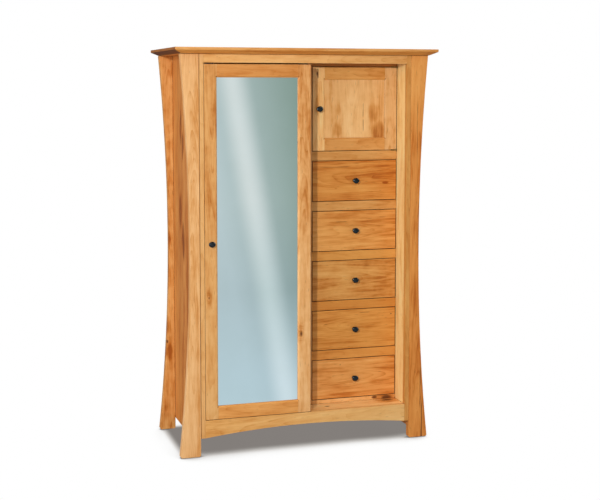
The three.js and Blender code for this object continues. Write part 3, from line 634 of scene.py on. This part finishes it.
def plain_finish(name, colour, deep_colour, roughness, rough_spread, metallic, grain_size, bump_height):
    """A cast, drawn or moulded finish: two close colours and two roughnesses mottled over the surface."""
    material = bpy.data.materials.new(name)
    material.use_nodes = True
    tree = material.node_tree
    shader = tree.nodes["Principled BSDF"]
    place = add_node(tree, "TexCoord").outputs["Object"]
    mottle = {"Vector": place, "Scale": 1 / (grain_size * MM), "Detail": 3.0}
    mottle = add_node(tree, "TexNoise", mottle).outputs["Fac"]
    fine = {"Vector": place, "Scale": 6 / (grain_size * MM), "Detail": 2.0}
    fine = add_node(tree, "TexNoise", fine).outputs["Fac"]
    colour = blended(tree, eased_step(tree, mottle, 0.38, 0.62), deep_colour, colour)
    tree.links.new(colour, shader.inputs["Base Color"])
    rough = reckon(tree, "MULTIPLY_ADD", fine, rough_spread * 2, roughness - rough_spread)
    tree.links.new(rough, shader.inputs["Roughness"])
    bump = add_node(tree, "Bump", {"Strength": 0.3, "Distance": bump_height * MM, "Height": fine})
    tree.links.new(bump.outputs[0], shader.inputs["Normal"])
    shader.inputs["Metallic"].default_value = metallic
    return material


nylon = plain_finish(
    "moulded nylon", (0.030, 0.030, 0.032, 1), (0.022, 0.022, 0.024, 1), roughness=0.5, rough_spread=0.06,
    metallic=0, grain_size=1.2, bump_height=0.04)
for number, (x, y) in enumerate(GLIDE_PLACES, 1):
    glide = turned("glide_%d" % number, GLIDE_OUTLINE, (x, y, 0), (0, 0, 1), closed=True)
    glide.data.materials.append(nylon)
    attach(glide, "cabinet")

# Two side panels of cherry, glued up from upright staves and set between the front and rear legs.
# The left one has reddish clouds and short gum streaks in its front half.
SIDE_EDGE = 0.6 * MM
SIDE_LOOK = dict(card=(207, 132, 63), staves=(112, 0.16), figure=1.15, heart=0.12)
# The zone paints shade on the left panel, darker towards the front leg.
wood("left_side_panel", "ZYX", zones=((40, -120, -0.22),), drifts=((900, 1300, 0.06),),
     streaks=((64, 1370, 1530, 8), (84, 980, 1150, 9), (26, 840, 1040, 10), (30, 1300, 1440, 7),
              (-70, 560, 900, 5)),
     clouds=((1060, 84, 110, 36, -0.40), (940, 26, 120, 42, -0.42), (1450, 64, 90, 34, -0.36),
             (1370, 28, 80, 30, -0.30), (660, -60, 160, 40, -0.24)),
     **SIDE_LOOK)
wood("right_side_panel", "ZYX", **SIDE_LOOK)
for piece in ("left_side_panel", "right_side_panel"):
    ease_edges(piece, SIDE_EDGE)

# The inside of the case: the bottom board and the partition are glued up from wider boards.
# The jamb is one pale board that closes the bay at the right.
wood("case_bottom", "XYZ", (251, 198, 128), staves=(95, 0.12), figure=0.7,
     knots=((425, -140, 19), (118, -168, 9)), clouds=((420, -140, 80, 50, -0.34),))
wood("partition", "ZYX", (219, 155, 94), staves=(110, 0.12), figure=0.8)
wood("bay_jamb", "ZYX", (252, 213, 144), figure=0.7)

# The face frame: two stiles and two rails in one plane, the bottom rail sawn to a low arch.
# The left stile is an evenly grained board, glued against the leg.
FRAME_EDGE = 0.35 * MM
# The dark line against the leg is painted: the shade of the proud leg and finish gathered in the joint.
wood("left_stile", "ZXY", (225, 169, 104), figure=0.5, heart=0.2, gum=0.2, joints=(-498,))
wood("right_stile", "ZXY", (211, 146, 73), figure=0.6, heart=0.15)
wood("top_rail", "XZY", (231, 174, 104), figure=0.6, heart=0.12)
wood("bottom_rail", "XZY", (223, 163, 92), figure=0.9, heart=0.08, drifts=((-150, 150, 0.24),))
for piece in ("left_stile", "right_stile", "top_rail", "bottom_rail"):
    ease_edges(piece, FRAME_EDGE)

# The bay behind the sliding door: seven cherry rails glued between the partition and the jamb.
# Each but the top and the lowest has its dust board behind it.
BAY_RAIL_CARDS = ((218, 154, 83), (218, 154, 83), (220, 150, 71), (210, 134, 56), (221, 146, 67))
wood("bay_top_rail", "XZY", (206, 134, 66), figure=0.6)
for number, card in enumerate(BAY_RAIL_CARDS, 1):
    wood("bay_rail_%d" % number, "XZY", card, figure=0.7, heart=0.14)
    ease_edges("bay_rail_%d" % number, FRAME_EDGE)
wood("bay_floor_rail", "XZY", (240, 180, 111), figure=0.8, knots=((432, 170, 14), (371, 176, 8)),
     clouds=((425, 172, 70, 24, -0.38),))
for piece in ("bay_top_rail", "bay_floor_rail"):
    ease_edges(piece, FRAME_EDGE)

# Five drawers: a solid cherry front with its edges just broken, and a paler box dovetailed to it.
# The fronts are cut from lively flat-sawn boards with their grain running across.
DRAWER_EDGE = 0.7 * MM
BOX_SIDE = 12.1 * MM
BOX_CARD = (231, 190, 138)
DRAWER_LOOKS = (
    dict(card=(215, 137, 59), figure=1.35, streaks=((1275, 90, 255, 1.8),),
         clouds=((175, 1175, 16, 7, -0.5), (419, 1198, 18, 7, -0.5), (380, 1230, 90, 40, -0.10))),
    dict(card=(226, 153, 76), figure=1.25, streaks=((1018, 170, 235, 1.2),),
         clouds=((365, 1001, 120, 32, -0.12),)),
    dict(card=(214, 146, 72), figure=1.2, curl=0.5,
         clouds=((120, 722, 110, 22, -0.12), (390, 738, 100, 18, -0.10))),
    dict(card=(217, 143, 64), figure=1.25, knots=((453, 574, 3),), streaks=((584, 290, 350, 1.0),)),
    dict(card=(228, 154, 79), figure=1.25, knots=((199, 344, 2.5),)),
)
for number, look in enumerate(DRAWER_LOOKS, 1):
    wood("drawer_%d_front" % number, "XZY", heart=0.06, **look)
    ease_edges("drawer_%d_front" % number, DRAWER_EDGE)


def box_timber(piece):
    """The sides run front to back and the back and bottom run across, each with its own grain."""
    low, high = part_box(piece)
    middle = (low + high) / 2
    material = bpy.data.materials.new("timber " + piece)
    material.use_nodes = True
    tree = material.node_tree
    place = add_node(tree, "TexCoord")
    here = add_node(tree, "SeparateXYZ", {0: place.outputs["Object"]})
    facing = add_node(tree, "SeparateXYZ", {0: place.outputs["Normal"]})
    x, y, z = (reckon(tree, "SUBTRACT", here.outputs[axis], start) for axis, start in zip("XYZ", middle))
    is_side = reckon(tree, "GREATER_THAN", reckon(tree, "ABSOLUTE", x), (high.x - low.x) / 2 - BOX_SIDE)

    def chosen(on_side, elsewhere):
        return add_node(tree, "Mix", {0: is_side, 2: elsewhere, 3: on_side}, data_type="FLOAT").outputs[0]

    along = chosen(y, reckon(tree, "ADD", x, 3.0))
    across = chosen(z, reckon(tree, "ADD", z, y))
    through = chosen(x, reckon(tree, "MULTIPLY", y, 0.2))
    end_face = reckon(tree, "ABSOLUTE", chosen(facing.outputs["Y"], facing.outputs["X"]))
    tone = paint(*BOX_CARD)[:3]
    draw = random.Random(piece)
    timber(material, along, across, through, end_face, tone, draw, figure=0.55, curl=0.25, gum=0.15)
    finish_with(nodes[piece], material)


for number in range(1, len(DRAWER_LOOKS) + 1):
    box_timber("drawer_%d_box" % number)

# A turned bronze knob on each drawer and door: a small base, a slim neck and a flattened oval head.
# It is dipped dark, and rubbed a little on the rim. A brass screw holds it from behind.
KNOB_OUTLINE = (
    (0, 0), (8.5, 0), (8.7, 0.5), (8.7, 1.7), (8.2, 2.6), (7.0, 3.6), (6.0, 5.0), (5.4, 7.0), (5.1, 9.0),
    (5.3, 10.7), (6.6, 13.0), (8.8, 14.7), (10.9, 16.3), (12.3, 17.9), (12.92, 19.4), (12.98, 20.4),
    (12.7, 21.5), (11.9, 22.5), (10.6, 23.4), (8.7, 24.1), (6.4, 24.6), (3.6, 24.87), (0, 24.95),
)
KNOB_OVAL = 1.18
KNOB_SCREW_RADIUS = 4.5
RUBBED_BRONZE = (0.16, 0.095, 0.055, 1)
RUBBED_EDGE = (0.52, 0.58)
RUBBED_STRENGTH = 0.35
bronze = plain_finish(
    "dark bronze", (0.040, 0.045, 0.051, 1), (0.026, 0.030, 0.035, 1), roughness=0.20, rough_spread=0.06,
    metallic=0.85, grain_size=1.6, bump_height=0.03)
tree = bronze.node_tree
shader = tree.nodes["Principled BSDF"]
dipped = shader.inputs["Base Color"].links[0].from_socket
roundness = add_node(tree, "NewGeometry").outputs["Pointiness"]
rubbed = eased_step(tree, roundness, *RUBBED_EDGE, 0.0, RUBBED_STRENGTH)
tree.links.new(blended(tree, rubbed, dipped, RUBBED_BRONZE), shader.inputs["Base Color"])
brass = plain_finish(
    "satin brass", (0.46, 0.29, 0.10, 1), (0.38, 0.23, 0.075, 1), roughness=0.36, rough_spread=0.06,
    metallic=0.9, grain_size=2.0, bump_height=0.02)
SCREW_STEPS = 24
CROSS_ARM, CROSS_SHOULDER, CROSS_CORNER = 0.62, 0.24, 0.18


def screw_head(name, centre, pointing, radius, finish, body):
    """A domed head with a punched cross recess."""
    cross = []
    for step in range(SCREW_STEPS):
        off_arm = min(step % 6, -step % 6)
        reach = CROSS_ARM if off_arm == 0 else CROSS_SHOULDER if off_arm == 1 else CROSS_CORNER
        cross.append(reach * radius)
    outline = [
        (radius, 0), (0.98 * radius, 0.16 * radius), (0.86 * radius, 0.30 * radius),
        (0.70 * radius, 0.38 * radius), (cross, 0.40 * radius),
        ([0.8 * reach for reach in cross], 0.12 * radius), (0, 0.04 * radius),
    ]
    head = turned(name, outline, centre, pointing, turns=SCREW_STEPS)
    head.data.materials.append(finish)
    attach(head, body)


def fit_knob(node_name, body, board):
    """Stands a knob on the face of its board and drives its screw in from behind."""
    low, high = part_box(node_name)
    centre = ((low.x + high.x) / 2 / MM, high.y / MM, (low.z + high.z) / 2 / MM)
    knob = turned(node_name.replace("knob", "turned_knob"), KNOB_OUTLINE, centre, (0, -1, 0))
    knob_middle = sum(vertex.co.x for vertex in knob.data.vertices) / len(knob.data.vertices)
    for vertex in knob.data.vertices:
        vertex.co.x = knob_middle + (vertex.co.x - knob_middle) * KNOB_OVAL
    knob.data.materials.append(bronze)
    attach(knob, body)
    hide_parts(node_name)
    behind = (centre[0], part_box(board)[1].y / MM, centre[2])
    screw_name = node_name.replace("knob", "knob_screw")
    screw_head(screw_name, behind, (0, 1, 0), KNOB_SCREW_RADIUS, brass, body)


for number in range(1, len(DRAWER_LOOKS) + 1):
    fit_knob("drawer_%d_knob" % number, "drawer_%d" % number, "drawer_%d_front" % number)

# The cupboard door: two stiles and two rails of cherry bevelled towards a flat panel, knob on the left.
# The panel's figure is curly and dark at the lower right.
wood("cupboard_door_left_stile", "ZXY", (251, 192, 121), figure=0.8, knots=((1706, 84, 8),),
     streaks=((84, 1680, 1735, 4.5),), clouds=((1560, 84, 60, 14, -0.15),))
wood("cupboard_door_right_stile", "ZXY", (226, 173, 111), figure=0.7, curl=0.4)
wood("cupboard_door_top_rail", "XZY", (228, 160, 83), figure=0.7)
wood("cupboard_door_bottom_rail", "XZY", (222, 153, 80), figure=0.7)
wood("cupboard_door_panel", "ZXY", (237, 179, 112), figure=0.62, curl=0.3,
     zones=((180, 230, 0.10), (330, 350, -0.14)),
     streaks=((309, 1435, 1500, 2.6), (308, 1500, 1575, 2.2)),
     clouds=((1440, 386, 55, 38, -0.34), (1530, 366, 60, 38, -0.20), (1445, 185, 45, 24, -0.26),
             (1545, 190, 45, 18, -0.20), (1600, 250, 80, 30, 0.10)))
for part in ("left_stile", "right_stile", "top_rail", "bottom_rail"):
    ease_edges("cupboard_door_" + part, FRAME_EDGE)
fit_knob("cupboard_door_knob", "cupboard_door", "cupboard_door_left_stile")

# Pivot hinges of stamped brass at the top and the bottom of the cupboard door: one plate is let into
# the rail and one into the edge of the door, and both turn on one pin.
HINGE_EDGE = 0.2 * MM
for place in ("upper", "lower"):
    for part in ("door", "frame"):
        leaf = "%s_hinge_%s_leaf" % (place, part)
        finish_with(nodes[leaf], brass)
        ease_edges(leaf, HINGE_EDGE)

# The mirror door: a light cherry frame round a tall silvered glass, which a backing board holds in.
# It hangs from the track and slides to the right in front of the bay.
wood("mirror_door_left_stile", "ZXY", (211, 147, 80), figure=1.0, curl=0.5, heart=0.05,
     knots=((715, -457, 5),), drifts=((1150, 800, 0.32),),
     clouds=((1500, -440, 130, 30, -0.10), (712, -455, 60, 17, -0.45)))
wood("mirror_door_right_stile", "ZXY", (221, 157, 92), figure=1.1, curl=0.6, heart=0.06,
     knots=((529, -30, 8.5),), drifts=((1150, 750, 0.30),),
     clouds=((1250, -10, 200, 22, -0.10), (529, -30, 70, 22, -0.25)))
wood("mirror_door_top_rail", "XZY", (213, 142, 72), figure=0.7)
wood("mirror_door_bottom_rail", "XZY", (222, 151, 78), figure=0.8)
for part in ("left_stile", "right_stile", "top_rail", "bottom_rail"):
    ease_edges("mirror_door_" + part, FRAME_EDGE)
wood("mirror_backing", "ZXY", (214, 176, 128), figure=0.5)
fit_knob("mirror_door_knob", "mirror_door", "mirror_door_left_stile")

SILVER_STOPS = ((0.3, (0.905, 0.925, 0.915, 1)), (0.7, (0.925, 0.945, 0.94, 1)))
silvering = bpy.data.materials.new("silvered glass")
silvering.use_nodes = True
tree = silvering.node_tree
shader = tree.nodes["Principled BSDF"]
place = add_node(tree, "TexCoord").outputs["Object"]
polish = add_node(tree, "TexNoise", {"Vector": place, "Scale": 9.0, "Detail": 3.0}).outputs["Fac"]
tree.links.new(reckon(tree, "MULTIPLY_ADD", polish, 0.02, 0.005), shader.inputs["Roughness"])
tree.links.new(ramp(tree, polish, SILVER_STOPS), shader.inputs["Base Color"])
shader.inputs["Metallic"].default_value = 1
finish_with(nodes["mirror_glass"], silvering)

# The sliding gear: an aluminium track screwed up behind the top rail, two nylon hangers on the back of
# the door, and a nylon guide on the bottom rail that runs in a groove under the door.
GEAR_EDGE = 0.3 * MM
aluminium = plain_finish(
    "drawn aluminium", (0.62, 0.63, 0.64, 1), (0.55, 0.56, 0.57, 1), roughness=0.38, rough_spread=0.06,
    metallic=1, grain_size=2.5, bump_height=0.01)
finish_with(nodes["hanger_track"], aluminium)
for piece in ("mirror_door_left_hanger", "mirror_door_right_hanger", "floor_guide"):
    finish_with(nodes[piece], nylon)
for piece in ("hanger_track", "mirror_door_left_hanger", "mirror_door_right_hanger", "floor_guide"):
    ease_edges(piece, GEAR_EDGE)

# The wardrobe side: a hat shelf glued up from boards and housed between the side and the partition,
# and under it a chromed steel rod in two flanges, each held by three screws.
SHELF_EDGE = 1.0 * MM
ROD_EDGE = 0.5 * MM
FLANGE_THICK = 6
SCREW_CIRCLE = 20
SCREW_ANGLES = (90, 210, 330)
FLANGE_SCREW_RADIUS = 3.4
wood("hat_shelf", "XYZ", (224, 172, 112), staves=(98, 0.12), figure=0.8)
ease_edges("hat_shelf", SHELF_EDGE)
chrome = plain_finish(
    "polished chrome", (0.72, 0.73, 0.74, 1), (0.68, 0.69, 0.70, 1), roughness=0.10, rough_spread=0.03,
    metallic=1, grain_size=6.0, bump_height=0.004)
finish_with(nodes["hanging_rod"], chrome)
ease_edges("hanging_rod", ROD_EDGE)
rod_low, rod_high = (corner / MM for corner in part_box("hanging_rod"))
rod_middle = (rod_low + rod_high) / 2
FLANGES = (("left", rod_low.x + FLANGE_THICK, 1), ("right", rod_high.x - FLANGE_THICK, -1))
for side_name, flange_face, pointing in FLANGES:
    for number, angle in enumerate(SCREW_ANGLES, 1):
        y = rod_middle.y + SCREW_CIRCLE * math.cos(math.radians(angle))
        z = rod_middle.z + SCREW_CIRCLE * math.sin(math.radians(angle))
        name = "%s_flange_screw_%d" % (side_name, number)
        place = (flange_face, y, z)
        screw_head(name, place, (pointing, 0, 0), FLANGE_SCREW_RADIUS, chrome, "cabinet")

# The back: one thin board screwed to the partition, the shelf, the bottom and the jamb.
# Where there is nothing else behind it, a strip is glued in: two under the slab, planed to its slope,
# and two up the left side.
BACK_EDGE = 0.4 * MM
STRIP_EDGE = 0.8 * MM
STRIP_CARD = (222, 172, 116)
CLEAT = ((246, 1767), (262, 1767), (262, 1792.5), (254, 1789), (246, 1789))
CORNER_STRIP = ((-498, 246), (-480, 246), (-480, 262), (-498, 262))
BACK_SCREW_RADIUS = 4.0
SCREWED_UPRIGHTS = (-486, 48, 486)
BACK_ROWS = (190, 485, 780, 1075, 1370, 1665)
SCREWED_SPANS = ((154.5, (-310, -130, 195, 340)), (1776, (-310, -130, 195, 340)), (1590, (-390, -220, -50)))
wood("back_panel", "ZXY", (216, 163, 108), staves=(240, 0.10), figure=0.6, heart=0.2, curl=0.1)
ease_edges("back_panel", BACK_EDGE)


def planed_strip(name, outline, start, end, axis):
    """A strip of that outline, running from start to end along X or Z."""
    mesh = bmesh.new()
    ends = []
    for run in (start, end):
        corners = [(run, u, v) if axis == "X" else (u, v, run) for u, v in outline]
        ends.append([mesh.verts.new(Vector(corner) * MM) for corner in corners])
    first, second = ends
    mesh.faces.new(first)
    mesh.faces.new(second)
    for corner in range(len(outline)):
        after = (corner + 1) % len(outline)
        mesh.faces.new((first[corner], first[after], second[after], second[corner]))
    bmesh.ops.recalc_face_normals(mesh, faces=mesh.faces)
    data = bpy.data.meshes.new(name)
    mesh.to_mesh(data)
    mesh.free()
    strip = bpy.data.objects.new(name, data)
    scene.collection.objects.link(strip)
    wood(name, axis + ("YZ" if axis == "X" else "XY"), STRIP_CARD, figure=0.6)
    ease_edges(name, STRIP_EDGE)
    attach(strip, "cabinet")


planed_strip("left_back_cleat", CLEAT, -480, 38, "X")
planed_strip("right_back_cleat", CLEAT, 58, 476.5, "X")
planed_strip("lower_corner_strip", CORNER_STRIP, 164.5, 1581, "Z")
planed_strip("upper_corner_strip", CORNER_STRIP, 1599, 1789, "Z")
back_screws = [(x, z) for x in SCREWED_UPRIGHTS for z in BACK_ROWS]
back_screws += [(x, z) for z, places in SCREWED_SPANS for x in places]
back_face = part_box("back_panel")[1].y / MM
for number, (x, z) in enumerate(back_screws, 1):
    name = "back_screw_%d" % number
    place = (x, back_face, z)
    screw_head(name, place, (0, 1, 0), BACK_SCREW_RADIUS, brass, "cabinet")

# The top: one slab glued up from boards, its under side planed away from a thin edge.
# The planed slope is painted darker as shade, most of all on the ends.
TOP_EDGE = 1.6 * MM
UNDER_SHADE_ALONG = (0.96, 0.84, 0.58, 1)
UNDER_SHADE_END = (0.40, 0.28, 0.18, 1)
UNDER_EDGE = (-0.25, -0.75)
ON_END_EDGE = (0.2, 0.4)
top_timber = wood("top_panel", "XYZ", (224, 159, 89), staves=(118, 0.12), figure=0.9, heart=0.12)
tree = top_timber.node_tree
shader = tree.nodes["Principled BSDF"]
facing = add_node(tree, "SeparateXYZ", {0: add_node(tree, "TexCoord").outputs["Normal"]})
# Painted shade on the faces that look down, deepest where they run out to the ends.
under_side = eased_step(tree, facing.outputs["Z"], *UNDER_EDGE)
on_end = eased_step(tree, reckon(tree, "ABSOLUTE", facing.outputs["X"]), *ON_END_EDGE)
painted_under_shade = blended(tree, on_end, UNDER_SHADE_ALONG, UNDER_SHADE_END)
colour = shader.inputs["Base Color"].links[0].from_socket
tree.links.new(blended(tree, under_side, colour, painted_under_shade, "MULTIPLY"), shader.inputs["Base Color"])
ease_edges("top_panel", TOP_EDGE, 3)
